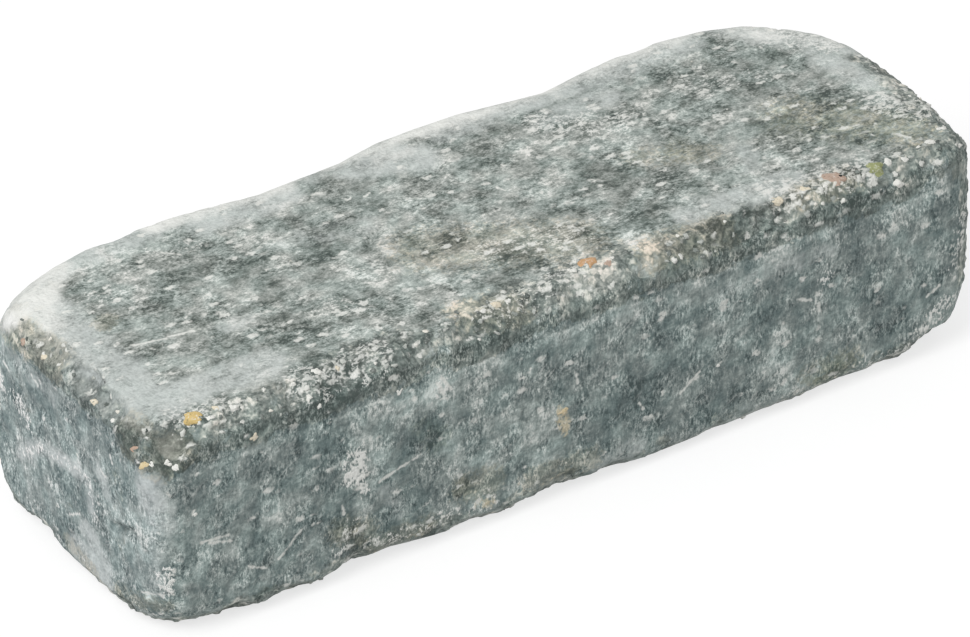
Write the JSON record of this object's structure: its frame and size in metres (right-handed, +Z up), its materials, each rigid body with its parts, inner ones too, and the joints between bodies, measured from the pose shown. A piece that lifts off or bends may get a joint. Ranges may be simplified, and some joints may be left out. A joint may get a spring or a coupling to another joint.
{
  "type": "concrete paver",
  "caption": "Small tumbled concrete paver: a solid block with a worn flat walking face, a flat bed, battered arrises and rounded corners",
  "frame": {"origin": "middle of the bed face, at floor level under the centre of the paver", "axes": "+X along the length, -Y the long side shown, +Z up out of the walking face"},
  "size_m": [0.2, 0.07, 0.05],
  "materials": {
    "paver_concrete": "tumbled grey-green concrete with a dusty worn face and exposed stones on its arrises, rough and matte"
  },
  "bodies": {
    "root": {"paver": "paver_concrete"}
  },
  "joints": []
}
